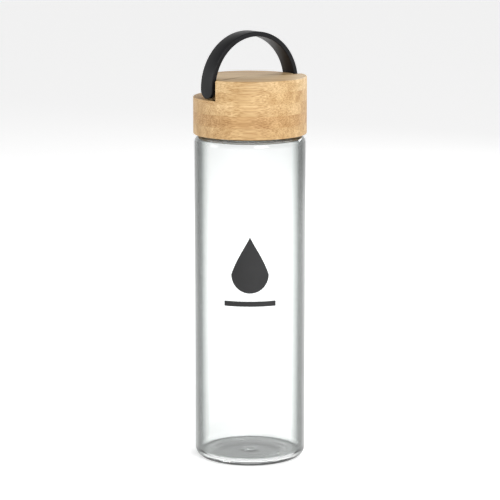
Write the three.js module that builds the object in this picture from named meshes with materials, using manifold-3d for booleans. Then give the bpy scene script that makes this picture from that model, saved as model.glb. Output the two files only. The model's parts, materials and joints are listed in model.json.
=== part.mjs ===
// A wide-mouth glass water bottle with a screw lid of laminated bamboo and a swing handle.
// Millimetres, +Z up, origin at the centre of the base. The handle turns about X and folds back towards +Y.
import * as THREE from "three";
import { mergeVertices } from "three/addons/utils/BufferGeometryUtils.js";
import Module from "manifold-3d";

const wasm = await Module();
wasm.setup();

// Glass
const BODY_RADIUS = 34;
const BODY_HEIGHT = 201;
const GLASS_WALL = 1.9;
const HEEL_RADIUS = 5;
const SHOULDER_RADIUS = 5;
const INNER_CORNER_RADIUS = 3.4;
const FLOOR_THICKNESS = 3;
const PUNT_DEPTH = 1.2;
const PUNT_RADIUS = 24;
const NECK_RADIUS = 25.5;
const NECK_WALL = 2.4;

// Screw thread
const THREAD_LEAD = 4;
const THREAD_TURNS = 1.75;
const THREAD_SECTION = 1.1;
const THREAD_RUN_OUT = 0.12;
const THREAD_GAP = 0.6;
const THREAD_BELOW_RIM = 3.2;
const THREAD_START = 0.05;
const LINER_RIDGE_SINK = 0.2;

// Lid
const LID_RADIUS = 34.6;
const LID_EDGE = 0.8;
const LID_ABOVE_GLASS = 0.5;
const PLY_THICKNESS = 7;
const PLY_COUNT = 5;
const RECESS_PLIES = 3;
const LINER_WALL = 1.6;
const LINER_TOP = 2;
const LINER_SETBACK = 0.5;
const GLUE_GAP = 0.3;
const GASKET_THICKNESS = 1.5;
const GASKET_LIP = 1.2;
const SEAL_GAP = 0.05;

// Rear rebate that the handle folds into
const TIER_HEIGHT = 12.4;
const STOP_WALL_Y = -9.2;
const TIER_CLEARANCE = 0.4;

// Handle and its pivots
const HANDLE_RADIUS = 33.3;
const STRAP_THICKNESS = 3;
const STRAP_WIDTH = 11.2;
const FOOT_CLEARANCE = 0.6;
const PIN_RADIUS = 1.5;
const PIN_HEAD_RADIUS = 2.3;
const PIN_HEAD_LENGTH = 0.8;
const PIN_HEAD_COVER = 1;
const RUNNING_GAP = 0.1;
const BUSH_WALL = 1;
const BUSH_LENGTH = 12;
const WASHER_RADIUS = 3.2;
const WASHER_THICKNESS = 1.4;
const WASHER_GAP = 0.42;
const SEAT_GAP = 0.05;
const PIN_END_GAP = 1;

// Fineness of the curved surfaces
const ROUND_SIDES = 48;
const SMALL_SIDES = 16;
const ARC_STEPS = 3;
const STEPS_PER_TURN = 18;

// Heights and radii that follow from the sizes above
const lidBottom = BODY_HEIGHT + LID_ABOVE_GLASS;
const lidTop = lidBottom + PLY_COUNT * PLY_THICKNESS;
const recessTop = lidBottom + RECESS_PLIES * PLY_THICKNESS;
const linerTop = recessTop - GLUE_GAP;
const gasketTop = linerTop - LINER_TOP - SEAL_GAP;
const neckTop = gasketTop - GASKET_THICKNESS - SEAL_GAP;
const threadTop = neckTop - THREAD_BELOW_RIM;
const linerInner = NECK_RADIUS + THREAD_SECTION + THREAD_GAP;
const linerOuter = linerInner + LINER_WALL;
const ledgeTop = lidTop - TIER_HEIGHT;
const pivotHeight = ledgeTop + FOOT_CLEARANCE + STRAP_WIDTH / 2;
const strapInner = HANDLE_RADIUS - STRAP_THICKNESS;
const tierAbovePivot = lidTop - pivotHeight;
const tierRadius = Math.sqrt(strapInner ** 2 - tierAbovePivot ** 2) - TIER_CLEARANCE;
const washerOuterX = Math.sqrt(strapInner ** 2 - WASHER_RADIUS ** 2) - WASHER_GAP;
const washerStartX = washerOuterX - WASHER_THICKNESS;
const washerSeatX = washerStartX - SEAT_GAP;
const bushInner = PIN_RADIUS + RUNNING_GAP;
const bushOuter = bushInner + BUSH_WALL;

const glass = finish("#dfe8e6", 0.03, 0);
const bamboo = finish("#dcc096", 0.55, 0);
const bambooDark = finish("#cfae7e", 0.55, 0);
const polypropylene = finish("#eceae4", 0.4, 0);
const silicone = finish("#f4f3ef", 0.6, 0);
const blackNylon = finish("#232326", 0.5, 0);
const steel = finish("#b9bcc0", 0.3, 1);
const acetal = finish("#e6e4dd", 0.35, 0);

function finish(color, roughness, metalness) {
  return new THREE.MeshStandardMaterial({ color, roughness, metalness });
}

// The points of a round corner about (r, z), from one angle to another in degrees.
function arc(r, z, radius, from, to, steps = ARC_STEPS) {
  const points = [];
  for (let i = 0; i <= steps; i++) {
    const angle = THREE.MathUtils.degToRad(from + ((to - from) * i) / steps);
    points.push(new THREE.Vector2(r + radius * Math.cos(angle), z + radius * Math.sin(angle)));
  }
  return points;
}

function point(r, z) {
  return new THREE.Vector2(r, z);
}

// Turns a profile, drawn from the bottom up with its material on the axis side, about Z.
function turned(points, sides = ROUND_SIDES) {
  return new THREE.LatheGeometry(points, sides).rotateX(Math.PI / 2);
}

function cylinder(radius, low, high, sides = ROUND_SIDES) {
  return turned([point(0, low), point(radius, low), point(radius, high), point(0, high)], sides);
}

function ring(inner, outer, low, high, sides = ROUND_SIDES) {
  const corners = [point(inner, low), point(outer, low), point(outer, high), point(inner, high)];
  return turned([...corners, point(inner, low)], sides);
}

function block(low, high) {
  const size = high.clone().sub(low);
  const centre = high.clone().add(low).divideScalar(2);
  return new THREE.BoxGeometry(size.x, size.y, size.z).translate(centre.x, centre.y, centre.z);
}

function solid(geometry) {
  const bare = geometry.clone();
  bare.deleteAttribute("normal");
  bare.deleteAttribute("uv");
  const merged = mergeVertices(bare, 1e-4);
  return new wasm.Manifold(
    new wasm.Mesh({
      numProp: 3,
      vertProperties: merged.attributes.position.array,
      triVerts: new Uint32Array(merged.index.array),
    }),
  );
}

function geometryOf(manifold) {
  const mesh = manifold.getMesh();
  const geometry = new THREE.BufferGeometry();
  geometry.setAttribute("position", new THREE.BufferAttribute(mesh.vertProperties, 3));
  geometry.setIndex(new THREE.BufferAttribute(mesh.triVerts, 1));
  geometry.computeVertexNormals();
  return geometry;
}

// A thread's middle line: a right-hand helix that can sink into its wall at both ends.
class Helix extends THREE.Curve {
  constructor(radius, bottom, sink) {
    super();
    Object.assign(this, { radius, bottom, sink });
  }

  getPoint(t) {
    const nearEnd = Math.min(t, 1 - t) / THREAD_RUN_OUT;
    const radius = this.radius - this.sink * Math.max(0, 1 - nearEnd);
    const angle = THREAD_START + 2 * Math.PI * THREAD_TURNS * t;
    const height = this.bottom + THREAD_LEAD * THREAD_TURNS * t;
    return new THREE.Vector3(radius * Math.cos(angle), radius * Math.sin(angle), height);
  }
}

function threadRidge(radius, bottom, sink) {
  const section = new THREE.Shape();
  section.absarc(0, 0, THREAD_SECTION, 0, 2 * Math.PI);
  return new THREE.ExtrudeGeometry(section, {
    steps: Math.round(STEPS_PER_TURN * THREAD_TURNS),
    curveSegments: 4,
    bevelEnabled: false,
    extrudePath: new Helix(radius, bottom, sink),
  });
}

function glassBottle() {
  const neckInner = NECK_RADIUS - NECK_WALL;
  const innerWall = BODY_RADIUS - GLASS_WALL;
  const rim = NECK_WALL / 2;
  const innerFloor = FLOOR_THICKNESS + INNER_CORNER_RADIUS;
  const innerShoulder = BODY_HEIGHT - GLASS_WALL - INNER_CORNER_RADIUS;
  const profile = [
    point(0, PUNT_DEPTH),
    point(PUNT_RADIUS - PUNT_DEPTH * 3, PUNT_DEPTH),
    point(PUNT_RADIUS, 0),
    ...arc(BODY_RADIUS - HEEL_RADIUS, HEEL_RADIUS, HEEL_RADIUS, -90, 0, 4),
    ...arc(BODY_RADIUS - SHOULDER_RADIUS, BODY_HEIGHT - SHOULDER_RADIUS, SHOULDER_RADIUS, 0, 90, 4),
    point(NECK_RADIUS, BODY_HEIGHT),
    ...arc(NECK_RADIUS - rim, neckTop - rim, rim, 0, 180, 4),
    point(neckInner, BODY_HEIGHT - GLASS_WALL),
    ...arc(innerWall - INNER_CORNER_RADIUS, innerShoulder, INNER_CORNER_RADIUS, 90, 0),
    ...arc(innerWall - INNER_CORNER_RADIUS, innerFloor, INNER_CORNER_RADIUS, 0, -90),
    point(0, FLOOR_THICKNESS),
  ];
  const bottom = threadTop - THREAD_LEAD * THREAD_TURNS;
  const ridge = threadRidge(NECK_RADIUS, bottom, THREAD_SECTION * 0.9);
  return geometryOf(solid(turned(profile)).add(solid(ridge)));
}

// The threaded cup inside the lid. Its ridge runs half a lead below the ridge on the neck.
function capLiner() {
  const bottom = lidBottom + LINER_SETBACK;
  const cup = solid(cylinder(linerOuter, bottom, linerTop)).subtract(
    solid(cylinder(linerInner, bottom - 1, linerTop - LINER_TOP)),
  );
  const ridgeBottom = threadTop - THREAD_LEAD * (THREAD_TURNS - 0.5) - THREAD_LEAD;
  const ridge = threadRidge(linerInner + LINER_RIDGE_SINK, ridgeBottom, 0);
  return geometryOf(cup.add(solid(ridge)));
}

function capGasket() {
  const inner = NECK_RADIUS - NECK_WALL - GASKET_LIP;
  return ring(inner, linerInner - THREAD_GAP, gasketTop - GASKET_THICKNESS, gasketTop);
}

// The whole lid before it is split into plies: a turned block with the liner's recess below.
function lidBlock() {
  const edge = LID_RADIUS - LID_EDGE;
  const recess = linerOuter + GLUE_GAP;
  return solid(
    turned([
      point(0, recessTop),
      point(recess, recessTop),
      point(recess, lidBottom),
      ...arc(edge, lidBottom + LID_EDGE, LID_EDGE, -90, 0, 2),
      ...arc(edge, lidTop - LID_EDGE, LID_EDGE, 0, 90, 2),
      point(0, lidTop),
    ]),
  );
}

// What the rebate takes away: all of the upper tier outside the handle, behind the two stop walls.
function rebate() {
  const reach = LID_RADIUS + 5;
  const space = block(
    new THREE.Vector3(-reach, STOP_WALL_Y, ledgeTop),
    new THREE.Vector3(reach, reach, lidTop + 5),
  );
  return solid(space).subtract(solid(cylinder(tierRadius, ledgeTop - 5, lidTop + 10)));
}

// A shape drawn about Z from the lid's middle outwards, laid along X at the height of the pivots.
function alongPivot(geometry, side) {
  return geometry.rotateY((side * Math.PI) / 2).translate(0, 0, pivotHeight);
}

// The stepped hole that a pivot's bush and washer sit in.
function pivotHole(side) {
  const start = washerSeatX - BUSH_LENGTH - GLUE_GAP;
  const bore = cylinder(bushOuter + GLUE_GAP / 2, start, LID_RADIUS, SMALL_SIDES);
  const spotFace = cylinder(WASHER_RADIUS + GLUE_GAP, washerSeatX, LID_RADIUS, SMALL_SIDES);
  return solid(alongPivot(bore, side)).add(solid(alongPivot(spotFace, side)));
}

function lidPlies() {
  let lid = lidBlock().subtract(rebate());
  for (const side of [-1, 1]) lid = lid.subtract(pivotHole(side));
  const reach = LID_RADIUS + 5;
  return Array.from({ length: PLY_COUNT }, (_, i) => {
    const low = lidBottom + i * PLY_THICKNESS;
    const slab = block(
      new THREE.Vector3(-reach, -reach, low),
      new THREE.Vector3(reach, reach, low + PLY_THICKNESS),
    );
    return geometryOf(lid.intersect(solid(slab)));
  });
}

function pivotBush(side) {
  const end = washerSeatX - SEAT_GAP;
  return alongPivot(ring(bushInner, bushOuter, end - BUSH_LENGTH, end, SMALL_SIDES), side);
}

function pivotWasher(side) {
  return alongPivot(ring(bushInner, WASHER_RADIUS, washerStartX, washerOuterX, SMALL_SIDES), side);
}

// A headed pin, moulded into the handle's foot. The margin makes it the pocket that holds it.
function headedPin(side, margin) {
  const headEnd = HANDLE_RADIUS - PIN_HEAD_COVER + margin;
  const headStart = HANDLE_RADIUS - PIN_HEAD_COVER - PIN_HEAD_LENGTH - margin;
  const shaftStart = washerSeatX - BUSH_LENGTH + PIN_END_GAP;
  const shape = turned(
    [
      point(0, shaftStart),
      point(PIN_RADIUS + margin, shaftStart),
      point(PIN_RADIUS + margin, headStart),
      point(PIN_HEAD_RADIUS + margin, headStart),
      point(PIN_HEAD_RADIUS + margin, headEnd),
      point(0, headEnd),
    ],
    SMALL_SIDES,
  );
  return alongPivot(shape, side);
}

// A half ring with straight feet, cut to round ends about the pivots.
function handleStrap() {
  const half = STRAP_WIDTH / 2;
  const bow = new THREE.Shape();
  bow.moveTo(HANDLE_RADIUS, -half);
  bow.absarc(0, 0, HANDLE_RADIUS, 0, Math.PI);
  bow.lineTo(-HANDLE_RADIUS, -half);
  bow.lineTo(-strapInner, -half);
  bow.absarc(0, 0, strapInner, Math.PI, 0, true);
  bow.lineTo(strapInner, -half);
  const sweep = { depth: STRAP_WIDTH, curveSegments: ROUND_SIDES / 4, bevelEnabled: false };
  const band = new THREE.ExtrudeGeometry(bow, sweep)
    .translate(0, 0, -half)
    .rotateX(Math.PI / 2)
    .translate(0, 0, pivotHeight);

  const foot = new THREE.Shape();
  const reach = HANDLE_RADIUS + 5;
  foot.moveTo(half, 0);
  foot.lineTo(half, reach);
  foot.lineTo(-half, reach);
  foot.absarc(0, 0, half, Math.PI, 2 * Math.PI);
  const across = { depth: 2 * reach, curveSegments: SMALL_SIDES / 2, bevelEnabled: false };
  const trim = new THREE.ExtrudeGeometry(foot, across)
    .translate(0, 0, -reach)
    .rotateX(Math.PI / 2)
    .rotateZ(Math.PI / 2)
    .translate(0, 0, pivotHeight);

  let strap = solid(band).intersect(solid(trim));
  for (const side of [-1, 1]) strap = strap.subtract(solid(headedPin(side, RUNNING_GAP)));
  return geometryOf(strap);
}

function mesh(name, geometry, material) {
  const made = new THREE.Mesh(geometry, material);
  made.name = name;
  return made;
}

const bottle = new THREE.Group();
const lid = new THREE.Group();
const handle = new THREE.Group();

bottle.add(mesh("glass_bottle", glassBottle(), glass));
lid.add(mesh("cap_gasket", capGasket(), silicone));
lid.add(mesh("cap_liner", capLiner(), polypropylene));
lidPlies().forEach((geometry, i) => {
  lid.add(mesh(`lid_ply_${i + 1}`, geometry, i % 2 ? bambooDark : bamboo));
});
handle.add(mesh("handle_strap", handleStrap(), blackNylon));
for (const [name, side] of [["left", -1], ["right", 1]]) {
  lid.add(mesh(`pivot_bush_${name}`, pivotBush(side), acetal));
  lid.add(mesh(`pivot_washer_${name}`, pivotWasher(side), steel));
  handle.add(mesh(`pivot_pin_${name}`, headedPin(side, 0), steel));
}
lid.add(handle);

const waterBottle = new THREE.Group();
waterBottle.add(bottle, lid);

export default waterBottle;
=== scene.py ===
"""A glass water bottle with a bamboo screw lid and a swing handle, laid out as a Blender add-on."""

import json
import math

import bmesh
import bpy
from bpy.props import FloatProperty, PointerProperty, StringProperty
from mathutils import Matrix, Vector


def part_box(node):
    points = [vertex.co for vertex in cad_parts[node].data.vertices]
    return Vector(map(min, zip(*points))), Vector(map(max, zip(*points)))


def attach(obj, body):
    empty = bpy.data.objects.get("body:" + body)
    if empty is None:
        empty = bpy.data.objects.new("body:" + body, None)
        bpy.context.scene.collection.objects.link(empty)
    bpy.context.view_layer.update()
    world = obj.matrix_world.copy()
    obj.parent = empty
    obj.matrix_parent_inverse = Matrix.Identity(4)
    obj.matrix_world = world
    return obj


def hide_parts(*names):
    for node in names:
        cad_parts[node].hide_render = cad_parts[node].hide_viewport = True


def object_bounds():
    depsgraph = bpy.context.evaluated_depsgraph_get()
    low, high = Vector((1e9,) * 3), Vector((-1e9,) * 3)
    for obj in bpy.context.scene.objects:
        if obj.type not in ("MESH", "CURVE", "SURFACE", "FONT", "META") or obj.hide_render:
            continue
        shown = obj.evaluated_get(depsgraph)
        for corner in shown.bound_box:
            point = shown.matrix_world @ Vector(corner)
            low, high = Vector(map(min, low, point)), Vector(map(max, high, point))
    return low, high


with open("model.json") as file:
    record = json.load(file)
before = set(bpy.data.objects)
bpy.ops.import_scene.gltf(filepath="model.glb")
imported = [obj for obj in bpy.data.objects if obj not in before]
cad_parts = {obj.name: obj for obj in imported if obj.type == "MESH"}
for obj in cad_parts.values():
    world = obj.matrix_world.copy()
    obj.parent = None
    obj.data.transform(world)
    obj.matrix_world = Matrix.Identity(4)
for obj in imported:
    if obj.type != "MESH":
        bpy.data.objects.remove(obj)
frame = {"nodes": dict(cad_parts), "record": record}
CAD_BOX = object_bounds()

bl_info = {
    "name": "Glass water bottle",
    "version": (1, 0, 0),
    "blender": (4, 5, 0),
    "location": "View3D > Sidebar > Bottle",
    "description": "Builds a glass water bottle with a bamboo lid and a swing handle",
    "category": "Object",
}

MM = 0.001
_, BOTTLE_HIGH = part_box("glass_bottle")
STRAP_LOW, STRAP_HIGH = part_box("handle_strap")
_, LINER_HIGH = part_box("cap_liner")
WASHER_LOW, WASHER_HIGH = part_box("pivot_washer_right")
PLY_COUNT = 5
PLY_NAMES = [f"lid_ply_{i}" for i in range(1, PLY_COUNT + 1)]
PLY_BOXES = [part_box(name) for name in PLY_NAMES]
LID_RADIUS = PLY_BOXES[0][1].x
LID_BOTTOM = PLY_BOXES[0][0].z
LID_TOP = PLY_BOXES[-1][1].z
BODY_RADIUS = BOTTLE_HIGH.x
PIVOT_Z = (WASHER_LOW.z + WASHER_HIGH.z) / 2
TIER_REAR = PLY_BOXES[-1][1].y
STRAP_HALF = STRAP_HIGH.y
FULL_TURN = 2 * math.pi
CAMERA_SIDE = math.radians(-38)
TOUCHING = 1e-6  # two places closer than this are the same place

# The glass.
NECK_RADIUS = 25.5 * MM
NECK_WALL = 2.4 * MM
NECK_FILLET = 1.5 * MM
LID_GAP = 0.5 * MM
HEEL_ROUND = 5 * MM
INNER_ROUND = 3.4 * MM
FLOOR_THICKNESS = 3 * MM
# Radius and height in millimetres: the hollow under the base, and the floor inside with its middle knob.
PUNT_OUTLINE = ((0, 1.2), (12, 1.15), (20.4, 1.0), (22.5, 0.4), (24.5, 0))
FLOOR_OUTLINE = ((20, -0.25), (8, -0.3), (3.2, -0.3), (2.2, 0.1), (0, 0.25))
GLASS_SIDES = 160

# The neck's screw thread.
THREAD_SECTION = 1.1 * MM
THREAD_LEAD = 4 * MM
THREAD_TURNS = 1.75
THREAD_STEPS = 112
THREAD_BELOW_RIM = 3.2 * MM

# The bamboo plies.
LID_SIDES = 192
BORED_PLIES = 3
LINER_CLEARANCE = 0.3 * MM
LEDGE_CLEARANCE = 0.6 * MM
STOP_WALL_Y = -9.2 * MM
REBATE_STEPS = 120
CUTTER_REACH = LID_RADIUS * 1.3
CUTTER_OVER = 5 * MM
BUSH_HOLE_RADIUS = 2.8 * MM
BUSH_HOLE_START = 16 * MM
WASHER_HOLE_RADIUS = 3.5 * MM
WASHER_SEAT_GAP = 0.05 * MM
HOLE_SIDES = 40
# Each ply's main tone, lighter fibres and darker fibres, from the bottom ply up.
PLY_TONES = (("#d8b98a", "#ecd3a6", "#b08a58"), ("#cda978", "#e4c595", "#a57e4d"),
             ("#dabb8c", "#eed5a9", "#b58f5c"), ("#d9ba8a", "#edd4a7", "#b38c5a"),
             ("#e3c79a", "#f3ddb6", "#bd9a68"))
STRIP_WIDTH = 17 * MM

# The handle.
STRAP_THICKNESS = 3 * MM
STRAP_STEPS = 96
FOOT_ROUNDING = 0.985  # share of the strap's half width, just short of a full half round

# The printed mark.
DROP_SIDES = 64
DROP_STRETCH = 2.0
DROP_TAPER = 0.65
DROP_ABOVE_CENTRE = 4 * MM
BAR_BELOW_CENTRE = 14 * MM
BAR_HALF_LENGTH = 16 * MM
BAR_HALF_HEIGHT = 1.6 * MM
BAR_STEPS = 24
MARK_CUTS = 15  # cuts a millimetre apart to each side of the middle, so that the mark can bend
INK_THICKNESS = 0.05 * MM
INK_GAP = 0.01 * MM

# The stage.
FLOOR_REACH = 60
CAMERA_CLIP_END = 200
# Name, degrees round from the camera, metres above the bottle's middle, watts and size in metres.
LIGHTS = (("key", 25, 0.6, 7.5, 0.5), ("fill", -80, 0.3, 1.6, 0.35), ("rim", 150, 0.6, 5, 0.5))


# ---- small helpers ----

def linear(hex_colour):
    """An sRGB hex value as a linear RGBA colour."""
    def channel(start):
        value = int(hex_colour[start:start + 2], 16) / 255
        return value / 12.92 if value <= 0.04045 else ((value + 0.055) / 1.055) ** 2.4
    return (channel(1), channel(3), channel(5), 1.0)


def add_node(material, kind, settings=None, links=None):
    """Adds a node, sets its attributes or inputs, and links its inputs to other nodes' outputs."""
    node = material.node_tree.nodes.new(kind)
    for key, value in (settings or {}).items():
        if isinstance(key, str) and hasattr(node, key):
            setattr(node, key, value)
        else:
            node.inputs[key].default_value = value
    for key, source in (links or {}).items():
        material.node_tree.links.new(source, node.inputs[key])
    return node


def new_material(name):
    material = bpy.data.materials.new(name)
    material.use_nodes = True
    material.node_tree.nodes.clear()
    return material


def finish_material(material, shader):
    add_node(material, "ShaderNodeOutputMaterial", {}, {"Surface": shader.outputs[0]})
    return material


def ramp(material, source, stops):
    """A colour ramp from a list of (position, hex colour)."""
    node = add_node(material, "ShaderNodeValToRGB", {}, {"Fac": source})
    elements = node.color_ramp.elements
    while len(elements) < len(stops):
        elements.new(0.5)
    for element, (position, colour) in zip(elements, stops):
        element.position = position
        element.color = linear(colour)
    return node.outputs["Color"]


def make_piece(name, bm, material, body, replaced=(), smooth=35):
    """Turns a bmesh into a finished piece that rides on a body."""
    bmesh.ops.remove_doubles(bm, verts=bm.verts, dist=TOUCHING)
    bmesh.ops.recalc_face_normals(bm, faces=bm.faces)
    mesh = bpy.data.meshes.new(name)
    bm.to_mesh(mesh)
    bm.free()
    mesh.shade_smooth()
    mesh.set_sharp_from_angle(angle=math.radians(smooth))
    mesh.materials.append(material)
    piece = bpy.data.objects.new(name, mesh)
    bpy.context.scene.collection.objects.link(piece)
    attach(piece, body)
    if replaced:
        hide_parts(*replaced)
    return piece


def corner(r, z, radius, start, end, steps=10):
    """Points of a round corner about (r, z), between two angles in degrees."""
    angles = [math.radians(start + (end - start) * i / steps) for i in range(steps + 1)]
    return [(r + radius * math.cos(a), z + radius * math.sin(a)) for a in angles]


def spin_profile(bm, points, steps):
    """Turns an outline of points (radius, height) once round the bottle's axis."""
    verts = [bm.verts.new((r, 0, z)) for r, z in points]
    edges = [bm.edges.new(pair) for pair in zip(verts, verts[1:])]
    bmesh.ops.spin(bm, geom=verts + edges, cent=(0, 0, 0), axis=(0, 0, 1), angle=FULL_TURN,
                   steps=steps, use_merge=True)
    bmesh.ops.remove_doubles(bm, verts=bm.verts, dist=TOUCHING)


def bevel(bm, chosen, width, segments=3):
    edges = [e for e in bm.edges if chosen(e)]
    bmesh.ops.bevel(bm, geom=edges, offset=width, offset_type="OFFSET", affect="EDGES",
                    segments=segments, profile=0.5, material=-1, clamp_overlap=True)


def is_sharp(edge, degrees=40):
    return len(edge.link_faces) == 2 and edge.calc_face_angle(0) > math.radians(degrees)


def at_height(part, height):
    """Whether an edge or a face lies level at a height."""
    return all(abs(v.co.z - height) < TOUCHING for v in part.verts)


def beyond(edge, radius):
    """Whether both of an edge's ends are further than this from the bottle's axis."""
    return all(Vector((v.co.x, v.co.y)).length > radius for v in edge.verts)


def carve(bm, cutter):
    """Cuts a second bmesh from the first and returns the result."""
    objects = []
    for shape in (bm, cutter):
        bmesh.ops.recalc_face_normals(shape, faces=shape.faces)
        mesh = bpy.data.meshes.new("carving")
        shape.to_mesh(mesh)
        shape.free()
        made = bpy.data.objects.new("carving", mesh)
        bpy.context.scene.collection.objects.link(made)
        objects.append(made)
    block, tool = objects
    modifier = block.modifiers.new("cut", "BOOLEAN")
    modifier.operation = "DIFFERENCE"
    modifier.solver = "EXACT"
    modifier.object = tool
    depsgraph = bpy.context.evaluated_depsgraph_get()
    result = bmesh.new()
    result.from_mesh(block.evaluated_get(depsgraph).to_mesh())
    for made in objects:
        bpy.data.objects.remove(made)
    return result


# ---- materials ----

def clear_glass():
    """Clear soda-lime glass, blown and fire-polished: almost invisible face on, with painted shade that
    darkens its colour towards its edges and a lighter painted reflection at the very rim.
    """
    material = new_material("clear_soda_lime_glass")
    # Painted shade: the glass's colour darkens as its surface turns edge-on to the view, then lightens
    # again at the very rim as a painted reflection.
    facing = add_node(material, "ShaderNodeLayerWeight", {"Blend": 0.5})
    painted_edge_shade = ramp(material, facing.outputs["Facing"],
                [(0.0, "#fdfefe"), (0.36, "#f6f8f7"), (0.5, "#b4b9b7"),
                 (0.64, "#3c403e"), (0.85, "#1a1c1b"), (1.0, "#6f7573")])
    coordinates = add_node(material, "ShaderNodeTexCoord")
    ripple = add_node(material, "ShaderNodeTexNoise", {"Scale": 28.0, "Detail": 1.0},
                      {"Vector": coordinates.outputs["Object"]})
    bump = add_node(material, "ShaderNodeBump", {"Strength": 0.04, "Distance": 0.4 * MM},
                    {"Height": ripple.outputs["Fac"]})
    shader = add_node(material, "ShaderNodeBsdfPrincipled",
                      {"Roughness": 0.0, "IOR": 1.5, "Transmission Weight": 1.0},
                      {"Base Color": painted_edge_shade, "Normal": bump.outputs["Normal"]})
    return finish_material(material, shader)


def bamboo(name, tone, light, dark, seed):
    """Laminated moso bamboo, sanded and oiled: fine streaks along it and speckled vessels at its ends."""
    material = new_material(name)
    coordinates = add_node(material, "ShaderNodeTexCoord")
    turned = add_node(material, "ShaderNodeMapping",
                      {"Location": (seed * 0.037, seed * 0.011, seed * 0.023),
                       "Rotation": (0, 0, math.radians(38 if seed % 2 else 44))},
                      {"Vector": coordinates.outputs["Object"]})
    # Strips lie side by side in each ply, each cut from another cane and so of another tone.
    strips = add_node(material, "ShaderNodeSeparateXYZ", {}, {"Vector": turned.outputs[0]})
    number = add_node(material, "ShaderNodeMath", {"operation": "MULTIPLY", 1: 1 / STRIP_WIDTH},
                      {0: strips.outputs["Y"]})
    whole = add_node(material, "ShaderNodeMath", {"operation": "FLOOR"}, {0: number.outputs[0]})
    strip_tone = add_node(material, "ShaderNodeTexWhiteNoise", {"noise_dimensions": "1D"},
                          {"W": whole.outputs[0]})
    # Fibre bundles about 0.6 mm across and 40 mm long.
    stretched = add_node(material, "ShaderNodeMapping", {"Scale": (25, 1500, 1500)},
                         {"Vector": turned.outputs[0]})
    fibres = add_node(material, "ShaderNodeTexNoise", {"Scale": 1.0, "Detail": 3.0, "Roughness": 0.6},
                      {"Vector": stretched.outputs[0]})
    broad = add_node(material, "ShaderNodeMapping", {"Scale": (18, 260, 160)},
                     {"Vector": turned.outputs[0]})
    bands = add_node(material, "ShaderNodeTexNoise", {"Scale": 1.0, "Detail": 2.0},
                     {"Vector": broad.outputs[0]})
    base = ramp(material, fibres.outputs["Fac"], [(0.3, dark), (0.52, tone), (0.75, light)])
    banded = ramp(material, bands.outputs["Fac"], [(0.3, "#d9cbb4"), (0.7, "#ffffff")])
    patch = ramp(material, strip_tone.outputs["Value"], [(0.0, "#ddcfb8"), (1.0, "#ffffff")])
    mixed = add_node(material, "ShaderNodeMix", {"data_type": "RGBA", "blend_type": "MULTIPLY", 0: 0.8},
                     {6: base, 7: banded})
    final = add_node(material, "ShaderNodeMix", {"data_type": "RGBA", "blend_type": "MULTIPLY", 0: 0.7},
                     {6: mixed.outputs[2], 7: patch})
    bump = add_node(material, "ShaderNodeBump", {"Strength": 0.12, "Distance": 0.1 * MM},
                    {"Height": fibres.outputs["Fac"]})
    shader = add_node(material, "ShaderNodeBsdfPrincipled", {"Roughness": 0.5, "IOR": 1.48},
                      {"Base Color": final.outputs[2], "Normal": bump.outputs["Normal"]})
    return finish_material(material, shader)


def moulded(name, low, high, roughness, grain_mm, strength=0.15, gloss=0.5):
    """A moulded polymer: an even colour with a faint mottle and a fine spark-eroded texture."""
    material = new_material(name)
    coordinates = add_node(material, "ShaderNodeTexCoord")
    mottle = add_node(material, "ShaderNodeTexNoise", {"Scale": 90.0, "Detail": 3.0},
                      {"Vector": coordinates.outputs["Object"]})
    colour = ramp(material, mottle.outputs["Fac"], [(0.3, low), (0.7, high)])
    grain = add_node(material, "ShaderNodeTexNoise", {"Scale": 1 / (grain_mm * MM), "Detail": 2.0},
                     {"Vector": coordinates.outputs["Object"]})
    bump = add_node(material, "ShaderNodeBump", {"Strength": strength, "Distance": 0.08 * MM},
                    {"Height": grain.outputs["Fac"]})
    shader = add_node(material, "ShaderNodeBsdfPrincipled",
                      {"Roughness": roughness, "IOR": 1.5, "Specular IOR Level": gloss},
                      {"Base Color": colour, "Normal": bump.outputs["Normal"]})
    return finish_material(material, shader)


def satin_steel():
    """Turned stainless steel: fine tool marks that spread its highlight."""
    material = new_material("turned_stainless_steel")
    coordinates = add_node(material, "ShaderNodeTexCoord")
    marks = add_node(material, "ShaderNodeTexNoise", {"Scale": 2500.0, "Detail": 2.0},
                     {"Vector": coordinates.outputs["Object"]})
    colour = ramp(material, marks.outputs["Fac"], [(0.2, "#a9abad"), (0.8, "#cccdce")])
    shader = add_node(material, "ShaderNodeBsdfPrincipled", {"Roughness": 0.3, "Metallic": 1.0},
                      {"Base Color": colour})
    return finish_material(material, shader)


# ---- pieces ----

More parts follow.
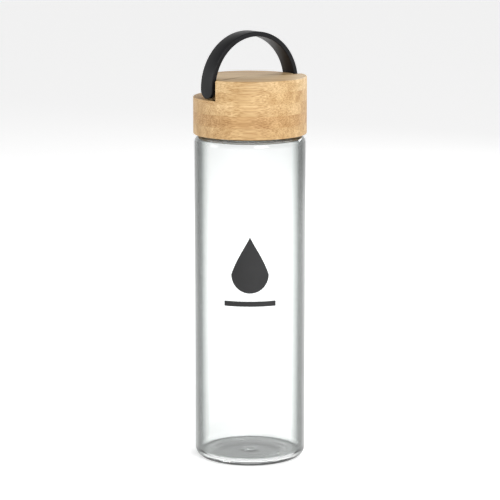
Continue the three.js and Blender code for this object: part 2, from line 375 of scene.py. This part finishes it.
def build_bottle(sizes, material):
    """The glass: a straight body, a flat shoulder and a short neck, turned as one closed wall."""
    wall = sizes.glass_wall
    inner_wall = BODY_RADIUS - wall
    shoulder = LID_BOTTOM - LID_GAP
    neck_inner = NECK_RADIUS - NECK_WALL
    rim = (NECK_RADIUS - neck_inner) / 2
    top = BOTTLE_HIGH.z
    points = [(r * MM, z * MM) for r, z in PUNT_OUTLINE]
    points += corner(BODY_RADIUS - HEEL_ROUND, HEEL_ROUND, HEEL_ROUND, -90, 0)
    points += corner(BODY_RADIUS - HEEL_ROUND, shoulder - HEEL_ROUND, HEEL_ROUND, 0, 90)
    points += corner(NECK_RADIUS + NECK_FILLET, shoulder + NECK_FILLET, NECK_FILLET, 270, 180, 5)
    points += corner(NECK_RADIUS - rim, top - rim, rim, 0, 180, 12)
    points += corner(neck_inner + NECK_FILLET, shoulder - wall + NECK_FILLET, NECK_FILLET, 180, 270, 5)
    points += corner(inner_wall - INNER_ROUND, shoulder - wall - INNER_ROUND, INNER_ROUND, 90, 0)
    points += corner(inner_wall - INNER_ROUND, FLOOR_THICKNESS + INNER_ROUND, INNER_ROUND, 0, -90)
    points += [(r * MM, FLOOR_THICKNESS + rise * MM) for r, rise in FLOOR_OUTLINE]
    bm = bmesh.new()
    spin_profile(bm, points, GLASS_SIDES)
    make_piece("glass_body", bm, material, "bottle", ["glass_bottle"], smooth=50)
    thread = bmesh.new()
    ring = bmesh.ops.create_circle(thread, cap_ends=True, radius=THREAD_SECTION, segments=16)
    climb = THREAD_LEAD * THREAD_TURNS
    start = top - THREAD_BELOW_RIM - climb
    stand = Matrix.Translation((NECK_RADIUS, 0, start)) @ Matrix.Rotation(math.pi / 2, 4, "X")
    bmesh.ops.transform(thread, matrix=stand, verts=ring["verts"])
    bmesh.ops.spin(thread, geom=thread.faces[:], cent=(0, 0, 0), axis=(0, 0, 1),
                   angle=FULL_TURN * THREAD_TURNS, dvec=(0, 0, climb / THREAD_STEPS),
                   steps=THREAD_STEPS)
    make_piece("neck_thread", thread, material, "bottle")


def ply_disc(low, high, radius, hollow):
    """One ply before it is carved: a disc, or a ring round the liner's recess."""
    bm = bmesh.new()
    points = [(hollow, low), (radius, low), (radius, high), (hollow, high)]
    if hollow:
        points.append(points[0])
    spin_profile(bm, points, LID_SIDES)
    return bm


def rebate_cutter(ledge):
    """The rear rebate's shape: everything outside the tier and behind the two stop walls."""
    bm = bmesh.new()
    wall_angle = math.asin(STOP_WALL_Y / TIER_REAR)
    start = bm.verts.new((math.sqrt(TIER_REAR ** 2 - STOP_WALL_Y ** 2), STOP_WALL_Y, ledge))
    bmesh.ops.spin(bm, geom=[start], cent=(0, 0, 0), axis=(0, 0, 1),
                   angle=math.pi - 2 * wall_angle, steps=REBATE_STEPS)
    ends = [v for v in bm.verts if abs(v.co.y - STOP_WALL_Y) < TOUCHING]
    right, left = sorted(ends, key=lambda v: -v.co.x)
    outer = [bm.verts.new((x, y, ledge)) for x, y in
             ((CUTTER_REACH, STOP_WALL_Y), (CUTTER_REACH, CUTTER_REACH),
              (-CUTTER_REACH, CUTTER_REACH), (-CUTTER_REACH, STOP_WALL_Y))]
    for pair in zip([right] + outer, outer + [left]):
        bm.edges.new(pair)
    face = bmesh.ops.contextual_create(bm, geom=bm.edges[:])["faces"]
    grown = bmesh.ops.extrude_face_region(bm, geom=face)
    top = [v for v in grown["geom"] if isinstance(v, bmesh.types.BMVert)]
    bmesh.ops.translate(bm, verts=top, vec=(0, 0, LID_TOP - ledge + CUTTER_OVER))
    return bm


def pivot_holes():
    """The stepped holes for the pivots' bushes and washers, one plain cylinder at a time."""
    for side in (-1, 1):
        for radius, start in ((BUSH_HOLE_RADIUS, BUSH_HOLE_START),
                              (WASHER_HOLE_RADIUS, WASHER_LOW.x - WASHER_SEAT_GAP)):
            bm = bmesh.new()
            depth = LID_RADIUS * 1.1 - start
            middle = Matrix.Translation((side * (start + depth / 2), 0, PIVOT_Z))
            bmesh.ops.create_cone(bm, cap_ends=True, segments=HOLE_SIDES, radius1=radius, radius2=radius,
                                  depth=depth, matrix=middle @ Matrix.Rotation(math.pi / 2, 4, "Y"))
            yield bm


def build_lid(sizes):
    """Five bamboo plies: the lower three bored for the liner, the upper two rebated for the handle."""
    ledge = STRAP_LOW.z - LEDGE_CLEARANCE
    top_ply = PLY_COUNT - 1
    for i, (name, (low, high)) in enumerate(zip(PLY_NAMES, PLY_BOXES)):
        bored = i < BORED_PLIES
        bm = ply_disc(low.z, high.z, LID_RADIUS, LINER_HIGH.x + LINER_CLEARANCE if bored else 0)
        if not bored:
            bm = carve(bm, rebate_cutter(ledge))
            for hole in pivot_holes():
                bm = carve(bm, hole)
            edge_height = LID_TOP if i == top_ply else ledge
            bevel(bm, lambda e: is_sharp(e) and at_height(e, edge_height) and beyond(e, TIER_REAR * 0.9),
                  sizes.rim_rounding, 4)
        elif i == 0:
            bevel(bm, lambda e: is_sharp(e) and at_height(e, LID_BOTTOM), sizes.rim_rounding * 0.7, 4)
        seams = ([high.z] if i < top_ply else []) + ([low.z] if i > 0 else [])
        bevel(bm, lambda e: is_sharp(e) and any(at_height(e, seam) for seam in seams)
              and beyond(e, LID_RADIUS * 0.97), sizes.seam_width, 1)
        material = bamboo(f"oiled_bamboo_{i + 1}", *PLY_TONES[i], i + 1)
        make_piece(f"bamboo_{i + 1}", bm, material, "lid", [name])


def build_handle(sizes, material):
    """A half ring of flat section whose feet end in half rounds about the pivots."""
    bm = bmesh.new()
    outer = STRAP_HIGH.x
    inner = outer - STRAP_THICKNESS
    corners = [(inner, -STRAP_HALF), (outer, -STRAP_HALF), (outer, STRAP_HALF), (inner, STRAP_HALF)]
    verts = [bm.verts.new((x, y, PIVOT_Z)) for x, y in corners]
    section = bm.faces.new(verts)
    centre = (0, 0, PIVOT_Z)
    bmesh.ops.spin(bm, geom=[section], cent=centre, axis=(0, -1, 0), angle=math.pi, steps=STRAP_STEPS)
    for end in [f for f in bm.faces if at_height(f, PIVOT_Z)]:
        grown = bmesh.ops.extrude_face_region(bm, geom=[end])
        tip = [v for v in grown["geom"] if isinstance(v, bmesh.types.BMVert)]
        bmesh.ops.translate(bm, verts=tip, vec=(0, 0, STRAP_LOW.z - PIVOT_Z))
        if end.is_valid:
            bmesh.ops.delete(bm, geom=[end], context="FACES_ONLY")
    bmesh.ops.remove_doubles(bm, verts=bm.verts, dist=TOUCHING)
    bevel(bm, lambda e: at_height(e, STRAP_LOW.z) and abs(e.verts[0].co.y - e.verts[1].co.y) < TOUCHING,
          STRAP_HALF * FOOT_ROUNDING, 12)
    bmesh.ops.recalc_face_normals(bm, faces=bm.faces)
    bevel(bm, lambda e: is_sharp(e, 60), sizes.strap_edge, 4)
    make_piece("handle_bow", bm, material, "handle", ["handle_strap"], smooth=50)


def wrap_on_glass(bm, radius):
    """Bends a flat mark, drawn in X and Z, round the bottle on the side that faces the camera."""
    for v in bm.verts:
        angle = v.co.x / radius + CAMERA_SIDE
        depth = radius - v.co.y
        v.co = Vector((depth * math.sin(angle), -depth * math.cos(angle), v.co.z))


def build_mark(sizes, material):
    """A plain printed water drop over a short bar."""
    upright = Matrix.Rotation(math.pi / 2, 3, "X")
    drop = bmesh.new()
    bmesh.ops.create_circle(drop, cap_ends=True, radius=sizes.drop_radius, segments=DROP_SIDES)
    for v in drop.verts:
        if v.co.y > 0:
            rise = min(v.co.y / sizes.drop_radius, 1)
            v.co.x *= (1 - rise) ** DROP_TAPER
            v.co.y *= DROP_STRETCH
    bmesh.ops.remove_doubles(drop, verts=drop.verts, dist=TOUCHING)
    bar = bmesh.new()
    bmesh.ops.create_grid(bar, x_segments=BAR_STEPS, y_segments=1, size=1)
    bmesh.ops.scale(bar, verts=bar.verts, vec=(BAR_HALF_LENGTH, BAR_HALF_HEIGHT, 1))
    for name, bm, lift in (("print_drop", drop, DROP_ABOVE_CENTRE),
                           ("print_bar", bar, -BAR_BELOW_CENTRE)):
        bmesh.ops.rotate(bm, verts=bm.verts, cent=(0, 0, 0), matrix=upright)
        bmesh.ops.translate(bm, verts=bm.verts, vec=(0, 0, sizes.mark_height + lift))
        for x in range(-MARK_CUTS, MARK_CUTS + 1):
            bmesh.ops.bisect_plane(bm, geom=bm.verts[:] + bm.edges[:] + bm.faces[:],
                                   plane_co=(x * MM, 0, 0), plane_no=(1, 0, 0))
        bmesh.ops.solidify(bm, geom=bm.faces[:], thickness=INK_THICKNESS)
        highest = max(v.co.y for v in bm.verts)
        bmesh.ops.translate(bm, verts=bm.verts, vec=(0, -highest - INK_GAP, 0))
        wrap_on_glass(bm, BODY_RADIUS)
        make_piece(name, bm, material, "bottle")


def dress_fittings():
    """Gives the small carried-over pieces their real finishes."""
    finishes = {
        "polypropylene": moulded("moulded_polypropylene", "#dfddd6", "#eceae4", 0.38, 0.5),
        "silicone": moulded("moulded_silicone", "#e9e8e2", "#f4f3ee", 0.6, 0.4, 0.08),
        "acetal": moulded("moulded_acetal", "#dcdad2", "#e8e6df", 0.33, 0.5, 0.08),
        "steel": satin_steel(),
    }
    slots = {row["node"]: row["material_slot"] for row in frame["record"]["subparts"]}
    for name, node in frame["nodes"].items():
        if slots[name] in finishes:
            node.data.materials.clear()
            node.data.materials.append(finishes[slots[name]])


def build_stage(sizes, colours):
    """A pale floor that glows a little, an even sky, a key light, a fill, a rim light and the camera."""
    scene = bpy.context.scene
    floor_bm = bmesh.new()
    bmesh.ops.create_grid(floor_bm, x_segments=1, y_segments=1, size=FLOOR_REACH)
    mesh = bpy.data.meshes.new("floor")
    floor_bm.to_mesh(mesh)
    floor_bm.free()
    floor = bpy.data.objects.new("floor", mesh)
    scene.collection.objects.link(floor)
    material = new_material("pale_matt_floor")
    shader = add_node(material, "ShaderNodeBsdfPrincipled",
                      {"Base Color": linear(colours.floor), "Roughness": 0.9,
                       "Emission Color": (1, 1, 1, 1), "Emission Strength": sizes.floor_glow})
    finish_material(material, shader)
    mesh.materials.append(material)

    world = bpy.data.worlds.new("studio")
    world.use_nodes = True
    background = world.node_tree.nodes["Background"]
    background.inputs["Strength"].default_value = sizes.sky_strength
    direction = add_node(world, "ShaderNodeTexCoord")
    parts = add_node(world, "ShaderNodeSeparateXYZ", {}, {"Vector": direction.outputs["Generated"]})
    sky = ramp(world, parts.outputs["Z"], [(0.0, "#ffffff"), (0.3, "#fbfbfb"), (0.75, "#7c7c7c")])
    world.node_tree.links.new(sky, background.inputs["Color"])
    scene.world = world
    scene.view_settings.view_transform = "Standard"

    centre = Vector((0, 0, (CAD_BOX[0].z + CAD_BOX[1].z) / 2))
    for name, side, height, power, size in LIGHTS:
        data = bpy.data.lights.new(name, "AREA")
        data.energy, data.size = power, size
        lamp = bpy.data.objects.new(name, data)
        angle = CAMERA_SIDE + math.radians(side)
        lamp.location = centre + Vector((math.sin(angle), -math.cos(angle), height))
        lamp.rotation_euler = (centre - lamp.location).to_track_quat("-Z", "Y").to_euler()
        scene.collection.objects.link(lamp)

    camera = bpy.data.objects.new("camera", bpy.data.cameras.new("camera"))
    camera.data.lens = sizes.lens
    distance = sizes.camera_distance
    camera.location = (math.sin(CAMERA_SIDE) * distance, -math.cos(CAMERA_SIDE) * distance,
                       LID_TOP + sizes.camera_above_lid)
    target = Vector((0, 0, sizes.aim_height))
    camera.rotation_euler = (target - camera.location).to_track_quat("-Z", "Y").to_euler()
    camera.data.clip_end = CAMERA_CLIP_END
    scene.collection.objects.link(camera)
    scene.camera = camera


# ---- the add-on ----

class BottleSizes(bpy.types.PropertyGroup):
    glass_wall: FloatProperty(
        name="Glass wall", description="Thickness of the glass",
        default=1.9 * MM, unit="LENGTH")
    rim_rounding: FloatProperty(
        name="Lid edge", description="Rounding of the lid's edges",
        default=0.8 * MM, unit="LENGTH")
    seam_width: FloatProperty(
        name="Seam", description="Width of the line between plies",
        default=0.08 * MM, unit="LENGTH", precision=5)
    strap_edge: FloatProperty(
        name="Strap edge", description="Rounding of the strap's edges",
        default=0.45 * MM, unit="LENGTH")
    mark_height: FloatProperty(
        name="Mark height", description="Height of the printed mark",
        default=116 * MM, unit="LENGTH")
    drop_radius: FloatProperty(
        name="Drop radius", description="Radius of the printed drop",
        default=11.5 * MM, unit="LENGTH")
    sky_strength: FloatProperty(
        name="Sky", description="Strength of the even studio light",
        default=1.0)
    floor_glow: FloatProperty(
        name="Floor glow", description="Light that the floor gives off",
        default=0.45)
    lens: FloatProperty(
        name="Lens", description="Focal length in millimetres",
        default=167)
    camera_distance: FloatProperty(
        name="Camera distance", description="Distance from the bottle's axis",
        default=1.402, unit="LENGTH")
    camera_above_lid: FloatProperty(
        name="Camera height", description="Height of the camera above the lid",
        default=0.155, unit="LENGTH")
    aim_height: FloatProperty(
        name="Aim height", description="Height that the camera looks at",
        default=0.1289, unit="LENGTH")


class BottleColours(bpy.types.PropertyGroup):
    floor: StringProperty(
        name="Floor", description="Floor colour as an sRGB hex value",
        default="#fafafa")
    strap_low: StringProperty(
        name="Strap, dark", description="Darker colour of the handle",
        default="#0c0c0e")
    strap_high: StringProperty(
        name="Strap, light", description="Lighter colour of the handle",
        default="#17171a")
    ink: StringProperty(
        name="Ink, dark", description="Darker colour of the printed mark",
        default="#0c0c0d")
    ink_light: StringProperty(
        name="Ink, light", description="Lighter colour of the printed mark",
        default="#151517")


class BOTTLE_OT_glass(bpy.types.Operator):
    """Build the glass body and its neck thread"""
    bl_idname = "bottle.glass"
    bl_label = "Glass body"

    def execute(self, context):
        build_bottle(context.scene.bottle_sizes, clear_glass())
        return {"FINISHED"}


class BOTTLE_OT_lid(bpy.types.Operator):
    """Build the five bamboo plies of the lid"""
    bl_idname = "bottle.lid"
    bl_label = "Bamboo lid"

    def execute(self, context):
        build_lid(context.scene.bottle_sizes)
        return {"FINISHED"}


class BOTTLE_OT_handle(bpy.types.Operator):
    """Build the swing handle"""
    bl_idname = "bottle.handle"
    bl_label = "Handle"

    def execute(self, context):
        colours = context.scene.bottle_colours
        nylon = moulded("moulded_black_nylon", colours.strap_low, colours.strap_high, 0.42, 0.35,
                        gloss=0.22)
        build_handle(context.scene.bottle_sizes, nylon)
        return {"FINISHED"}


class BOTTLE_OT_mark(bpy.types.Operator):
    """Build the printed mark"""
    bl_idname = "bottle.mark"
    bl_label = "Printed mark"

    def execute(self, context):
        colours = context.scene.bottle_colours
        ink = moulded("screen_printed_enamel_ink", colours.ink, colours.ink_light, 0.35, 0.3, 0.05)
        build_mark(context.scene.bottle_sizes, ink)
        return {"FINISHED"}


class BOTTLE_OT_fittings(bpy.types.Operator):
    """Give the liner, gasket, bushes, washers and pins their finishes"""
    bl_idname = "bottle.fittings"
    bl_label = "Fittings"

    def execute(self, context):
        dress_fittings()
        return {"FINISHED"}


class BOTTLE_OT_stage(bpy.types.Operator):
    """Build the floor, lights and camera"""
    bl_idname = "bottle.stage"
    bl_label = "Stage"

    def execute(self, context):
        build_stage(context.scene.bottle_sizes, context.scene.bottle_colours)
        return {"FINISHED"}


OPERATORS = (BOTTLE_OT_stage, BOTTLE_OT_glass, BOTTLE_OT_lid, BOTTLE_OT_handle, BOTTLE_OT_mark,
             BOTTLE_OT_fittings)


class BOTTLE_PT_panel(bpy.types.Panel):
    bl_idname = "BOTTLE_PT_panel"
    bl_label = "Bottle"
    bl_space_type = "VIEW_3D"
    bl_region_type = "UI"
    bl_category = "Bottle"

    def draw(self, context):
        for operator in OPERATORS:
            self.layout.operator(operator.bl_idname)


CLASSES = (BottleSizes, BottleColours, *OPERATORS, BOTTLE_PT_panel)


def register():
    for cls in CLASSES:
        bpy.utils.register_class(cls)
    bpy.types.Scene.bottle_sizes = PointerProperty(type=BottleSizes)
    bpy.types.Scene.bottle_colours = PointerProperty(type=BottleColours)


def unregister():
    del bpy.types.Scene.bottle_sizes
    del bpy.types.Scene.bottle_colours
    for cls in reversed(CLASSES):
        bpy.utils.unregister_class(cls)


def main():
    register()
    bpy.ops.bottle.stage()
    bpy.ops.bottle.glass()
    bpy.ops.bottle.lid()
    bpy.ops.bottle.handle()
    bpy.ops.bottle.mark()
    bpy.ops.bottle.fittings()
    bpy.context.view_layer.update()


if __name__ == "__main__":
    main()
